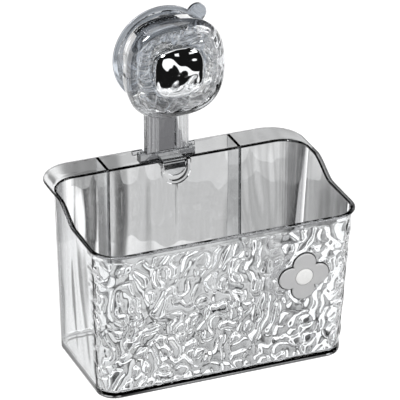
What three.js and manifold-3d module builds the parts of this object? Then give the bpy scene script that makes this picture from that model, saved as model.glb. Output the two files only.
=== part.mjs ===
// Clear wall basket that hangs from a twist-lock suction cup.
// Millimetres, +Z up. The origin is the centre of the suction cup on the wall face.
// The wall is the plane Y = 0 and everything stands out from it towards -Y.

import * as THREE from "three";
import { mergeVertices } from "three/addons/utils/BufferGeometryUtils.js";
import Module from "manifold-3d";

// Fits
const clearance = 0.3;           // between pieces that are seated on each other
const slideClearance = 0.5;      // round what slides or turns

// Basket, measured inside the walls at the rim
const rimWidth = 200;
const rimDepth = 109.5;
const frontHeight = 124.5;       // front rim above the foot
const rimStep = 11.5;            // ledge above the front rim
const sweepStart = 50;           // the rim starts to rise this far behind the front wall
const sweepEnd = 28.5;           // and is level again this far before the back wall
const frontCornerRadius = 17;
const backCornerRadius = 19.5;
const baseCornerRadius = 14.5;
const wallThickness = 2;
const floorThickness = 2.5;
const floorFillet = 3;
const sideDraft = 5;             // how far each wall leans in from the rim to the foot
const frontDraft = 12;
const backDraft = 1;
const lipReach = 4;              // rim lip, out from the inside of the walls
const lipThickness = 2.2;
const footHeight = 1.5;
const footWidth = 5;
const footChamfer = 1.5;

// Ledge, fins and socket behind the back wall
const ledgeDepth = 25;           // from the inside of the back wall to the rear edge
const ledgeCornerRadius = 27;
const wallGap = 1.5;             // the ledge stops this far short of the bathroom wall
const finSpacing = 106;
const finThickness = 2.4;
const finInset = 0.5;            // fin behind the ledge's rear edge
const finFootGap = 4;            // fin above the foot
const socketReach = 3;           // rounded boss that shows inside the basket, round the tongue
const socketWall = 2;
const catchDepth = 3;            // ribs under the ledge that keep it on the shoulders
const catchThickness = 2.5;
const catchWidth = 8;

// Drain slots in the floor
const slotCount = 7;
const slotPitch = 18;
const slotWidth = 3.4;
const slotLength = 52;

// Flower on the front
const flowerInset = 41.5;        // in from the inside of the right wall
const flowerDrop = 46.5;         // below the front rim
const petalCount = 4;
const petalRadius = 9.7;
const petalOffset = 10.8;
const petalThickness = 1.8;
const flowerCentreRadius = 6.7;
const flowerCentreHeight = 2.6;
const flowerCentreCrown = 0.7;

// Suction cup, lengths measured out from the wall
const cupToLedge = 74.5;         // axis of the cup down to the top of the ledge
const padRadius = 39.2;
const padLipWidth = 9;
const padLipThickness = 1.6;
const padCavityDepth = 5;
const padMembrane = 2.7;
const padBossRadius = 11;
const padBossRise = 5;
const padShoulder = 8;           // front of the pad at the foot of its boss
const tabWidth = 14.6;
const tabReach = 8.8;            // past the edge of the pad
const tabAngle = 47;
const tabThickness = 2.2;
const tabRidges = 3;
const tabRidgeHeight = 0.7;
const tabRidgeWidth = 1.3;
const tabRidgePitch = 3;
const tabOverlap = 4;

const studRadius = 3.5;
const studHeadRadius = 7;
const studHeadThickness = 2.2;
const studEndPast = 1.2;         // stud past the cross pin
const pinRadius = 1.5;
const pinLength = 24;

// Bracket: pressure cup, sleeve, arm, shoulders and tongue
const cupRadius = 36.5;
const cupWall = 3;
const cupShoulder = 10;
const cupFaceRadius = 31;
const cupBossGap = 1;            // room in front of the pad's boss
const cupWebThickness = 2.5;
const sleeveWall = 3.1;
const sleeveRise = 5;
const armWidth = 33.6;
const armFront = 12;
const armInset = 2.6;            // arm in front of the cup's back edge
const armRecessWidth = 13.6;
const armRecessDepth = 3.6;
const armRibs = 3;               // ribs down the front of each column
const armGrooveDepth = 0.8;
const armGrooveWidth = 1;
const armRoot = 2.9;             // arm into the rim of the cup
const shoulderWidth = 44;
const shoulderHeight = 6.5;
const tongueWebWidth = 17;
const tongueWebHeight = 5.5;
const tongueTopGap = 0.8;
const tongueWidth = 18.4;
const tongueStraight = 1.2;      // straight sides above the tongue's half-round end
const liftMargin = 1;            // the basket rises this much past its catches to come off

// Knob
const washerThickness = 1;
const washerRadius = 13.5;
const bushWall = 6.1;
const bushFloor = 4;             // bush under the low end of the ramps
const camRise = 4;               // the pin drops this far as the knob is let go
const camTurn = 90;              // degrees of the knob from locked to free
const camFloorTurn = 25;         // level floor of each ramp past that, then the way back up
const camReturnTurn = 40;
const hubWall = 2.3;
const keyWidth = 4;
const keyReach = 1.6;
const knobHalf = 38.7;
const knobBackHalf = 36.6;
const knobArmGap = 0.7;          // knob in front of the arm
const knobFaceHalf = 33;
const knobRound = 7.7;           // depth of the round edge between the widest section and the face
const knobWall = 2.2;
const knobExponent = 2.68;
const capHalf = 18.7;
const capExponent = 3.2;
const capSeat = 1.4;             // depth of the seat in the knob's face
const capRise = 6;               // dome above the knob's face
const capEdge = 0.9;             // straight edge of the cap above the knob's face

// Facets
const cornerSteps = 7;
const sideSteps = 16;
const arcSteps = 12;
const petalSteps = 16;
const buttonSteps = 32;
const pinSteps = 24;
const roundSteps = 64;
const knobSteps = 64;
const rampSteps = 96;
const crownSteps = 7;
const knobRoundSteps = 4;
const cavitySteps = 3;

// Planes that follow from the sizes
const ledgeY = ledgeDepth;                       // in the basket's own frame: back wall inside at Y = 0
const backFace = wallThickness;                  // outside of the back wall at the rim
const frontFace = -rimDepth - wallThickness;
const ledgeUnderside = -lipThickness;            // ledge top at Z = 0
const frontRim = -rimStep;
const foot = frontRim - frontHeight;
const lift = catchDepth + liftMargin;
const tongueTop = ledgeUnderside - clearance - tongueTopGap;
const tongueBottom = tongueTop - tongueStraight - tongueWidth / 2;
const pocketWidth = tongueWidth + 2 * slideClearance;
const pocketBottom = tongueBottom - lift - slideClearance;
const flowerX = rimWidth / 2 - flowerInset;
const basketY = -(wallGap + ledgeDepth);
const basketZ = -cupToLedge;

const padBossFront = padShoulder + padBossRise;
const headBack = padCavityDepth + padMembrane + clearance;
const padCone = (padShoulder - padLipThickness) / (padRadius - padBossRadius);
const cupBore = cupRadius - cupWall;
const cupBack = padLipThickness + padCone * (padRadius - cupBore) + clearance;
const cupFace = padBossFront + cupBossGap;
const cupFront = cupFace + cupWebThickness;
const armBack = cupBack + armInset;
const armTop = cupRadius - armRoot;
const sleeveFront = cupFront + sleeveRise;
const sleeveBore = studRadius + clearance;
const sleeveRadius = sleeveBore + sleeveWall;
const washerBack = cupFront + clearance;
const bushBack = washerBack + washerThickness + clearance;
const bushBore = sleeveRadius + clearance;
const bushRadius = bushBore + bushWall;
const rampLow = bushBack + bushFloor;
const rampHigh = rampLow + camRise;
const pinOut = rampHigh + clearance + pinRadius;
const studEnd = pinOut + pinRadius + studEndPast;
const hubBore = bushRadius + clearance;
const knobInside = studEnd + slideClearance;
const knobFace = knobInside + knobWall + capSeat;
const knobEdge = knobFace - knobRound;
const knobBack = armFront + knobArmGap;

const wasm = await Module();
wasm.setup();

function material(color, roughness, metalness = 0, opacity = 1) {
  return new THREE.MeshStandardMaterial({
    color,
    roughness,
    metalness,
    opacity,
    transparent: opacity < 1,
  });
}

const clearPlastic = material(0xd7dbde, 0.12, 0, 0.45);
const softVinyl = material(0xb9c4cc, 0.35, 0, 0.7);
const petalPlastic = material(0x9b9c9e, 0.4);
const whitePlastic = material(0xf2f2f0, 0.35);
const steel = material(0x9a9ca0, 0.3, 1);
const slipPlastic = material(0xe6e6e2, 0.5);
const mirror = material(0xe8eaec, 0.05, 1);

// A closed geometry as a solid, turned the right way out.
function solidOf(geometry) {
  const bare = geometry.clone();
  bare.deleteAttribute("normal");
  bare.deleteAttribute("uv");
  const merged = mergeVertices(bare, 1e-4);
  const points = merged.attributes.position;
  const triangles = [];
  let volume = 0;
  const corner = [new THREE.Vector3(), new THREE.Vector3(), new THREE.Vector3()];
  for (let i = 0; i < merged.index.count; i += 3) {
    const [a, b, c] = [0, 1, 2].map((k) => merged.index.getX(i + k));
    if (a === b || b === c || c === a) continue;
    [a, b, c].forEach((vertex, k) => corner[k].fromBufferAttribute(points, vertex));
    volume += corner[0].dot(corner[1].clone().cross(corner[2]));
    triangles.push(a, b, c);
  }
  if (volume < 0) triangles.reverse();
  return new wasm.Manifold(new wasm.Mesh({
    numProp: 3,
    vertProperties: new Float32Array(points.array),
    triVerts: new Uint32Array(triangles),
  }));
}

function geometryOf(solid) {
  const mesh = solid.getMesh();
  const geometry = new THREE.BufferGeometry();
  geometry.setAttribute("position", new THREE.BufferAttribute(mesh.vertProperties, 3));
  geometry.setIndex(new THREE.BufferAttribute(mesh.triVerts, 1));
  geometry.computeVertexNormals();
  return geometry;
}

function piece(name, solid, finish) {
  const mesh = new THREE.Mesh(geometryOf(solid), finish);
  mesh.name = name;
  return mesh;
}

// Box between two corners.
function box(low, high) {
  const size = high.map((value, i) => value - low[i]);
  const geometry = new THREE.BoxGeometry(...size);
  geometry.translate(...low.map((value, i) => value + size[i] / 2));
  return solidOf(geometry);
}

// Turned piece about the cup's axis. Each profile point is [radius, distance out from the wall].
function turned(profile) {
  const points = profile.map(([radius, out]) => new THREE.Vector2(radius, -out));
  return solidOf(new THREE.LatheGeometry(points, roundSteps));
}

function ring(inner, outer, back, front) {
  return turned([[inner, back], [outer, back], [outer, front], [inner, front], [inner, back]]);
}

// Skin over a row of loops with equal numbers of points: a ring of them, or a stack with a flat cap at
// each end.
function loft(loops, isRing = false) {
  const count = loops[0].length;
  const last = loops.length - 1;
  const positions = loops.flat(2);
  const index = [];
  for (let level = 0; level < (isRing ? loops.length : last); level++) {
    const next = (level + 1) % loops.length;
    for (let i = 0; i < count; i++) {
      const j = (i + 1) % count;
      const [a, b] = [level * count + i, level * count + j];
      const [c, d] = [next * count + j, next * count + i];
      index.push(a, b, c, a, c, d);
    }
  }
  for (const level of isRing ? [] : [0, last]) {
    const middle = positions.length / 3;
    [0, 1, 2].forEach((k) => positions.push(loops[level].reduce((sum, p) => sum + p[k], 0) / count));
    for (let i = 0; i < count; i++) {
      const edge = [level * count + i, level * count + (i + 1) % count];
      if (level === 0) edge.reverse();
      index.push(...edge, middle);
    }
  }
  const geometry = new THREE.BufferGeometry();
  geometry.setAttribute("position", new THREE.Float32BufferAttribute(positions, 3));
  geometry.setIndex(index);
  return solidOf(geometry);
}

// U-shaped prism: straight sides down from top, half-round bottom, from front to back along Y.
function uPrism(width, top, bottom, front, back) {
  const radius = width / 2;
  const shape = new THREE.Shape();
  shape.moveTo(-radius, top);
  shape.lineTo(-radius, bottom + radius);
  shape.absarc(0, bottom + radius, radius, Math.PI, 2 * Math.PI);
  shape.lineTo(radius, top);
  const settings = { depth: back - front, bevelEnabled: false, curveSegments: arcSteps };
  const geometry = new THREE.ExtrudeGeometry(shape, settings);
  geometry.rotateX(Math.PI / 2);
  geometry.translate(0, back, 0);
  return solidOf(geometry);
}

// Plan outlines of the basket in its own frame
const rimPlan = {
  half: rimWidth / 2,
  front: -rimDepth,
  back: 0,
  frontRadius: frontCornerRadius,
  backRadius: backCornerRadius,
};
const wallPlan = inset(rimPlan, -wallThickness);
const lipPlan = {
  ...inset(rimPlan, -lipReach),
  back: ledgeY,
  backRadius: ledgeCornerRadius,
};
const basePlan = {
  half: wallPlan.half - sideDraft,
  front: wallPlan.front + frontDraft,
  back: wallPlan.back - backDraft,
  frontRadius: baseCornerRadius,
  backRadius: baseCornerRadius,
};

function inset(plan, distance) {
  return {
    half: plan.half - distance,
    front: plan.front + distance,
    back: plan.back - distance,
    frontRadius: plan.frontRadius - distance,
    backRadius: plan.backRadius - distance,
  };
}

// The sides of every loop share these stations, so that the sweep of the rim stays in step.
const basketPlans = [rimPlan, wallPlan, lipPlan, basePlan];
const sideFront = Math.max(...basketPlans.map((plan) => plan.front + plan.frontRadius));
const sideBack = Math.min(...basketPlans.map((plan) => plan.back - plan.backRadius));

function planLoop(plan, height) {
  const points = [];
  const corner = (x, y, radius, start) => {
    for (let i = 0; i <= cornerSteps; i++) {
      const angle = start + (Math.PI / 2) * (i / cornerSteps);
      points.push([x + radius * Math.cos(angle), y + radius * Math.sin(angle)]);
    }
  };
  const side = (x, from, to) => {
    for (let i = 1; i < sideSteps; i++) points.push([x, from + (to - from) * (i / sideSteps)]);
  };
  const frontX = plan.half - plan.frontRadius;
  const backX = plan.half - plan.backRadius;
  corner(frontX, plan.front + plan.frontRadius, plan.frontRadius, -Math.PI / 2);
  side(plan.half, sideFront, sideBack);
  corner(backX, plan.back - plan.backRadius, plan.backRadius, 0);
  corner(-backX, plan.back - plan.backRadius, plan.backRadius, Math.PI / 2);
  side(-plan.half, sideBack, sideFront);
  corner(-frontX, plan.front + plan.frontRadius, plan.frontRadius, Math.PI);
  return points.map(([x, y]) => [x, y, height(y)]);
}

// Height of the rim: level at the front, a smooth rise along each side, level at the back.
function rimHeight(y) {
  return frontRim + rimStep * THREE.MathUtils.smoothstep(y, -rimDepth + sweepStart, -sweepEnd);
}

function basketBin() {
  const level = (z) => () => z;
  const underLip = (y) => rimHeight(y) - lipThickness;
  const floor = foot + footHeight + floorThickness;
  const floorPlan = inset(basePlan, wallThickness);
  let bin = loft([
    planLoop(inset(basePlan, footWidth), level(foot + footHeight)),
    planLoop(inset(basePlan, footWidth), level(foot)),
    planLoop(inset(basePlan, footChamfer), level(foot)),
    planLoop(basePlan, level(foot + footChamfer)),
    planLoop(wallPlan, underLip),
    planLoop(lipPlan, underLip),
    planLoop(lipPlan, rimHeight),
    planLoop(rimPlan, rimHeight),
    planLoop(floorPlan, level(floor + floorFillet)),
    planLoop(inset(floorPlan, floorFillet), level(floor)),
  ]);

  const finRoot = backFace - backDraft - wallThickness / 2;
  const inLedge = ledgeUnderside + lipThickness / 2;
  for (const side of [-1, 1]) {
    const x = side * finSpacing / 2;
    bin = bin.add(box(
      [x - finThickness / 2, finRoot, foot + finFootGap],
      [x + finThickness / 2, ledgeY - finInset, inLedge],
    ));
    const catchX = side * (armWidth / 2 + slideClearance + catchWidth / 2);
    bin = bin.add(box(
      [catchX - catchWidth / 2, ledgeY - catchThickness, ledgeUnderside - catchDepth],
      [catchX + catchWidth / 2, ledgeY, inLedge],
    ));
  }

  const socketWidth = pocketWidth + 2 * socketWall;
  const pocketFloor = -socketReach + socketWall;
  bin = bin.add(uPrism(socketWidth, inLedge, pocketBottom - socketWall, -socketReach, wallThickness / 2));
  bin = bin.subtract(uPrism(pocketWidth, ledgeUnderside, pocketBottom, pocketFloor, ledgeY));

  const armHalf = armWidth / 2 + slideClearance;
  const notchFront = ledgeY + wallGap - armFront - slideClearance;
  bin = bin.subtract(box(
    [-armHalf, notchFront, ledgeUnderside - catchDepth],
    [armHalf, ledgeY + wallGap, clearance],
  ));

  const slotMiddle = (basePlan.front + basePlan.back) / 2;
  for (let i = 0; i < slotCount; i++) {
    const x = (i - (slotCount - 1) / 2) * slotPitch;
    bin = bin.subtract(box(
      [x - slotWidth / 2, slotMiddle - slotLength / 2, foot],
      [x + slotWidth / 2, slotMiddle + slotLength / 2, floor + floorFillet],
    ));
  }
  return piece("basket_bin", bin, clearPlastic);
}

// Round petals that run into each other, pierced for the centre button, in the plane of the front wall.
function flowerPetals() {
  const share = Math.PI / petalCount;
  const halfGap = petalOffset * Math.sin(share);
  const notch = petalOffset * Math.cos(share) + Math.sqrt(petalRadius ** 2 - halfGap ** 2);
  const sweep = Math.atan2(notch * Math.sin(share), notch * Math.cos(share) - petalOffset);
  const shape = new THREE.Shape();
  for (let i = 0; i < petalCount; i++) {
    const turn = 2 * share * i;
    const [x, y] = [petalOffset * Math.cos(turn), petalOffset * Math.sin(turn)];
    shape.absarc(x, y, petalRadius, turn - sweep, turn + sweep);
  }
  const hole = new THREE.Path();
  hole.absarc(0, 0, flowerCentreRadius + clearance, 0, 2 * Math.PI);
  shape.holes.push(hole);
  const settings = { depth: petalThickness, bevelEnabled: false, curveSegments: petalSteps };
  const geometry = new THREE.ExtrudeGeometry(shape, settings);
  return piece("flower_petals", solidOf(geometry), petalPlastic);
}

function flowerCentre() {
  const edge = flowerCentreHeight - flowerCentreCrown;
  const profile = [new THREE.Vector2(0, 0), new THREE.Vector2(flowerCentreRadius, 0)];
  for (let i = 0; i < crownSteps; i++) {
    const turn = (Math.PI / 2) * (i / crownSteps);
    const radius = flowerCentreRadius * Math.cos(turn);
    profile.push(new THREE.Vector2(radius, edge + flowerCentreCrown * Math.sin(turn)));
  }
  profile.push(new THREE.Vector2(0, flowerCentreHeight));
  const geometry = new THREE.LatheGeometry(profile, buttonSteps);
  geometry.rotateX(Math.PI / 2);
  return piece("flower_centre", solidOf(geometry), whitePlastic);
}

function suctionPad() {
  const lipInner = padRadius - padLipWidth;
  const headFront = headBack + studHeadThickness;
  const cavity = [];
  for (let i = 0; i <= cavitySteps; i++) {
    const share = i / cavitySteps;
    cavity.push([lipInner * share, padCavityDepth * (1 - share ** 2)]);
  }
  const pad = turned([
    ...cavity,
    [padRadius, 0],
    [padRadius, padLipThickness],
    [padBossRadius, padShoulder],
    [padBossRadius, padBossFront],
    [studRadius + clearance, padBossFront],
    [studRadius + clearance, headFront + clearance],
    [studHeadRadius + clearance, headFront + clearance],
    [studHeadRadius + clearance, headBack - clearance],
    [0, headBack - clearance],
  ]);
  const half = tabWidth / 2;
  const shape = new THREE.Shape();
  shape.moveTo(padRadius - tabOverlap, -half);
  shape.lineTo(padRadius + tabReach - half, -half);
  shape.absarc(padRadius + tabReach - half, 0, half, -Math.PI / 2, Math.PI / 2);
  shape.lineTo(padRadius - tabOverlap, half);
  const settings = { depth: tabThickness, bevelEnabled: false, curveSegments: arcSteps };
  let tab = solidOf(new THREE.ExtrudeGeometry(shape, settings));
  for (let i = 0; i < tabRidges; i++) {
    const x = padRadius + tabReach - tabRidgePitch * (i + 1);
    const reach = half - tabRidgeWidth;
    tab = tab.add(box(
      [x - tabRidgeWidth / 2, -reach, tabThickness / 2],
      [x + tabRidgeWidth / 2, reach, tabThickness + tabRidgeHeight],
    ));
  }
  const placed = geometryOf(tab);
  placed.rotateZ(THREE.MathUtils.degToRad(tabAngle));
  placed.rotateX(Math.PI / 2);
  return piece("suction_pad", pad.add(solidOf(placed)), softVinyl);
}

function padStud() {
  const stud = turned([
    [0, headBack],
    [studHeadRadius, headBack],
    [studHeadRadius, headBack + studHeadThickness],
    [studRadius, headBack + studHeadThickness],
    [studRadius, studEnd],
    [0, studEnd],
  ]);
  const bore = pinBar(pinRadius + clearance / 2, pinLength);
  return piece("pad_stud", stud.subtract(bore), steel);
}

function pinBar(radius, length) {
  const geometry = new THREE.CylinderGeometry(radius, radius, length, pinSteps);
  geometry.rotateZ(Math.PI / 2);
  geometry.translate(0, -pinOut, 0);
  return solidOf(geometry);
}

function hangerBracket() {
  let bracket = turned([
    [sleeveBore, cupFace],
    [cupFaceRadius - cupWall, cupFace],
    [cupBore, cupShoulder],
    [cupBore, cupBack],
    [cupRadius, cupBack],
    [cupRadius, cupShoulder],
    [cupFaceRadius, cupFront],
    [sleeveRadius, cupFront],
    [sleeveRadius, sleeveFront],
    [sleeveBore, sleeveFront],
    [sleeveBore, cupFace],
  ]);

  const half = armWidth / 2;
  const carry = -cupToLedge + ledgeUnderside - clearance;
  const armBottom = carry - shoulderHeight;
  let arm = box([-half, -armFront, armBottom], [half, -armBack, -armTop]);
  const recessHalf = armRecessWidth / 2;
  arm = arm.subtract(box(
    [-recessHalf, -armFront - clearance, armBottom - clearance],
    [recessHalf, -armFront + armRecessDepth, -cupRadius],
  ));
  const ribPitch = (half - recessHalf) / armRibs;
  for (const side of [-1, 1]) {
    for (let i = 1; i < armRibs; i++) {
      const x = side * (recessHalf + ribPitch * i);
      arm = arm.subtract(box(
        [x - armGrooveWidth / 2, -armFront - clearance, armBottom - clearance],
        [x + armGrooveWidth / 2, -armFront + armGrooveDepth, -cupRadius],
      ));
    }
  }

  const shoulderBack = -(wallGap + catchThickness + slideClearance);
  const shoulders = box(
    [-shoulderWidth / 2, -armFront, armBottom],
    [shoulderWidth / 2, shoulderBack, carry],
  );
  const webTop = basketZ + tongueTop;
  const tongueFront = basketY - socketReach + socketWall + clearance;
  const tongueBack = basketY + backFace + slideClearance;
  const web = box(
    [-tongueWebWidth / 2, tongueFront, webTop - tongueWebHeight],
    [tongueWebWidth / 2, -armBack, webTop],
  );
  const tongue = uPrism(tongueWidth, webTop, basketZ + tongueBottom, tongueFront, tongueBack);
  bracket = bracket.add(arm).add(shoulders).add(web).add(tongue);
  return piece("hanger_bracket", bracket, clearPlastic);
}

function glideWasher() {
  const washer = ring(bushBore, washerRadius, washerBack, washerBack + washerThickness);
  return piece("glide_washer", washer, slipPlastic);
}

// Height of the two equal ramps: down from the locked landing, along the floor, and up to the next landing.
function rampAt(angle) {
  const turn = THREE.MathUtils.euclideanModulo(-THREE.MathUtils.radToDeg(angle), 180);
  const down = THREE.MathUtils.clamp(turn / camTurn, 0, 1);
  const up = THREE.MathUtils.clamp((turn - camTurn - camFloorTurn) / camReturnTurn, 0, 1);
  return rampHigh - camRise * (down - up);
}

function camBush() {
  const sections = [];
  for (let i = 0; i < rampSteps; i++) {
    const angle = 2 * Math.PI * i / rampSteps;
    const ramp = rampAt(angle);
    const section = [[bushBore, bushBack], [bushRadius, bushBack], [bushRadius, ramp], [bushBore, ramp]];
    sections.push(section.map(([radius, out]) => [
      radius * Math.cos(angle),
      -out,
      radius * Math.sin(angle),
    ]));
  }
  const bush = loft(sections, true);
  const withKeys = bush.add(keys(keyWidth, bushRadius + keyReach, bushBack, rampLow));
  return piece("cam_bush", withKeys, slipPlastic);
}

// Two keys, above and below the axis, that turn the bush with the knob.
function keys(width, reach, back, front) {
  const root = bushRadius - bushWall / 2;
  const upper = box([-width / 2, -front, root], [width / 2, -back, reach]);
  const lower = box([-width / 2, -front, -reach], [width / 2, -back, -root]);
  return upper.add(lower);
}

// Rounded-square loop about the cup's axis.
function squareLoop(half, out, exponent) {
  const loop = [];
  for (let i = 0; i < knobSteps; i++) {
    const angle = 2 * Math.PI * i / knobSteps;
    const [c, s] = [Math.cos(angle), Math.sin(angle)];
    const radius = half / (Math.abs(c) ** exponent + Math.abs(s) ** exponent) ** (1 / exponent);
    loop.push([radius * c, -out, radius * s]);
  }
  return loop;
}

function knobCover() {
  const loop = (half, out) => squareLoop(half, out, knobExponent);
  const seat = (half, out) => squareLoop(half, out, capExponent);
  const edge = [];
  for (let i = 0; i <= knobRoundSteps; i++) {
    const turn = (Math.PI / 2) * (i / knobRoundSteps);
    edge.push(loop(
      knobFaceHalf + (knobHalf - knobFaceHalf) * Math.cos(turn),
      knobEdge + knobRound * Math.sin(turn),
    ));
  }
  const seatHalf = capHalf + clearance;
  let cover = loft([
    loop(seatHalf, knobInside),
    loop(knobFaceHalf - knobWall, knobInside),
    loop(knobHalf - 2 * knobWall, knobEdge - knobWall),
    loop(knobHalf - knobWall, knobEdge - 2 * knobWall),
    loop(knobBackHalf - knobWall, knobBack),
    loop(knobBackHalf, knobBack),
    ...edge,
    seat(seatHalf, knobFace),
    seat(seatHalf, knobFace - capSeat),
  ]);
  const hub = ring(hubBore, hubBore + hubWall, bushBack, knobInside + knobWall / 2);
  const slots = keys(keyWidth + 2 * clearance, hubBore + 2 * hubWall, 0, rampLow + clearance);
  cover = cover.add(hub.subtract(slots));
  return piece("knob_cover", cover, clearPlastic);
}

function mirrorCap() {
  const seatFloor = knobFace - capSeat + clearance;
  const loops = [squareLoop(capHalf, seatFloor, capExponent)];
  for (let i = 0; i < crownSteps; i++) {
    const turn = (Math.PI / 2) * (i / crownSteps);
    const rise = capEdge + (capRise - capEdge) * Math.sin(turn);
    loops.push(squareLoop(capHalf * Math.cos(turn), knobFace + rise, capExponent));
  }
  return piece("mirror_cap", loft(loops), mirror);
}

const flower = new THREE.Group();
flower.add(flowerPetals(), flowerCentre());
const lean = Math.atan2(frontDraft, frontHeight - lipThickness - footChamfer);
const faceAtFlower = frontFace + (flowerDrop - lipThickness) * Math.tan(lean);
flower.rotation.x = Math.PI / 2 + lean;
flower.position.set(
  flowerX,
  faceAtFlower - clearance * Math.cos(lean),
  frontRim - flowerDrop - clearance * Math.sin(lean),
);

const basket = new THREE.Group();
basket.add(basketBin(), flower);
basket.position.set(0, basketY, basketZ);

const suctionCup = new THREE.Group();
suctionCup.add(
  suctionPad(),
  padStud(),
  piece("cam_pin", pinBar(pinRadius, pinLength), steel),
  hangerBracket(),
  glideWasher(),
  camBush(),
  knobCover(),
  mirrorCap(),
);

const wallBasket = new THREE.Group();
wallBasket.add(suctionCup, basket);

export default wallBasket;
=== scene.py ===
import math

import bmesh
import bpy
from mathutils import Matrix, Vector


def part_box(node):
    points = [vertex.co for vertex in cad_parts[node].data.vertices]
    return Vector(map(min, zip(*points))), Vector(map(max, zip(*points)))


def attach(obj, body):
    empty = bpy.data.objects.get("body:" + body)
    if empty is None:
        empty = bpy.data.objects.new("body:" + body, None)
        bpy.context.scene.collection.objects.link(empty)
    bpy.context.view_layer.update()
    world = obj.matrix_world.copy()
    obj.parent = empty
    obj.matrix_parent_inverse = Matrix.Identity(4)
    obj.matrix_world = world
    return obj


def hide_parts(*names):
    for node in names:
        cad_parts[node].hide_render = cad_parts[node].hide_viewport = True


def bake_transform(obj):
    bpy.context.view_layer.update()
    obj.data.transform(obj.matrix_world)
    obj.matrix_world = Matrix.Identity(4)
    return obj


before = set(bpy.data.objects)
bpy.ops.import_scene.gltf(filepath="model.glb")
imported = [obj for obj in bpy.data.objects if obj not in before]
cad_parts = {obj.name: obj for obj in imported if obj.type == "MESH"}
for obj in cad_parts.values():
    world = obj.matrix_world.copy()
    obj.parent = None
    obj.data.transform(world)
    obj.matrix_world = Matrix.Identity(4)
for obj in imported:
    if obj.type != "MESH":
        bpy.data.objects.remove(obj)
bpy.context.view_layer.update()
mm = 0.001                      # sizes are in millimetres, meshes in metres
quarter = math.pi / 2
print("frame loaded with", len(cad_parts), "nodes")


def nodeBox(node):
    low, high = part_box(node)
    return low / mm, high / mm


# Half the width of a round node
def nodeRadius(node):
    low, high = nodeBox(node)
    return (high.x - low.x) / 2


def between(a, b, share):
    return tuple(start + (end - start) * share for start, end in zip(a, b))


def smoothStep(low, high, value):
    share = min(max((value - low) / (high - low), 0), 1)
    return share * share * (3 - 2 * share)


# Places on a circle of radius 1
def circle(steps):
    turns = [4 * quarter * i / steps for i in range(steps)]
    return [(math.cos(turn), math.sin(turn)) for turn in turns]


# Mesh tools

meshTools = {
    "bevelSegments": 3, "bevelProfile": 0.5, "mergeGap": 0.002, "flatAngle": 0.5, "copySharp": 35,
}


def edited(mesh, change):
    build = bmesh.new()
    build.from_mesh(mesh)
    change(build)
    build.to_mesh(mesh)
    build.free()


def faceOutwards(build):
    bmesh.ops.recalc_face_normals(build, faces=build.faces)


def newPiece(name, points, faces):
    mesh = bpy.data.meshes.new(name)
    mesh.from_pydata([[value * mm for value in point] for point in points], [], faces)
    edited(mesh, faceOutwards)
    piece = bpy.data.objects.new(name, mesh)
    bpy.context.scene.collection.objects.link(piece)
    return piece


# Skin over a row of loops with equal counts: a stack with a cap at each end, or a ring
def loft(name, loops, isRing=False):
    count = len(loops[0])
    points = [point for loop in loops for point in loop]
    faces = []
    for row in range(len(loops) if isRing else len(loops) - 1):
        start = row * count
        above = (row + 1) % len(loops) * count
        for i in range(count):
            j = (i + 1) % count
            faces.append((start + i, start + j, above + j, above + i))
    if not isRing:
        faces.append(tuple(reversed(range(count))))
        faces.append(tuple(range(len(points) - count, len(points))))
    return newPiece(name, points, faces)


def prism(name, outline, front, back):
    return loft(name, [[(x, y, z) for x, z in outline] for y in (front, back)])


def roundedBox(name, low, high, edge):
    outline = [(low[0], low[2]), (high[0], low[2]), (high[0], high[2]), (low[0], high[2])]
    piece = prism(name, outline, low[1], high[1])

    def bevel(build):
        bmesh.ops.bevel(build, geom=build.edges, offset=edge * mm, segments=meshTools["bevelSegments"],
                        profile=meshTools["bevelProfile"], affect="EDGES")

    edited(piece.data, bevel)
    return piece


# Straight sides down from the top, then a half-round bottom
def uOutline(width, top, bottom, steps=24):
    radius = width / 2
    outline = [(-radius, top)]
    for i in range(steps + 1):
        turn = math.pi * (1 + i / steps)
        outline.append((radius * math.cos(turn), bottom + radius + radius * math.sin(turn)))
    outline.append((radius, top))
    return outline


# Turned piece about the cup's axis, from [radius, distance out from the wall]
def turned(name, profile, steps, isRing=False):
    loops = [[(radius * c, -out, radius * s) for c, s in circle(steps)] for radius, out in profile]
    return loft(name, loops, isRing)


# Makes the result of a piece's modifiers its own plain mesh
def bake(piece):
    graph = bpy.context.evaluated_depsgraph_get()
    mesh = bpy.data.meshes.new_from_object(
        piece.evaluated_get(graph), preserve_all_data_layers=True, depsgraph=graph)
    piece.modifiers.clear()
    old = piece.data
    piece.data = mesh
    mesh.name = piece.name
    bpy.data.meshes.remove(old)


def combine(piece, other, operation):
    modifier = piece.modifiers.new(operation, "BOOLEAN")
    modifier.operation = operation
    modifier.solver = "MANIFOLD"
    modifier.object = other
    bake(piece)
    bpy.data.objects.remove(other)


def smoothShading(piece, sharpAngle):
    piece.data.shade_smooth()
    piece.data.set_sharp_from_angle(angle=math.radians(sharpAngle))
    modifier = piece.modifiers.new("flatFaces", "WEIGHTED_NORMAL")
    modifier.keep_sharp = True
    bake(piece)


def setMaterial(piece, material):
    piece.data.materials.clear()
    piece.data.materials.append(material)


# Takes the place of a node: its body and material
def standsFor(piece, node, body, material):
    setMaterial(piece, material)
    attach(piece, body)
    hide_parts(node)
    print(piece.name, "made with", len(piece.data.polygons), "faces")


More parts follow.
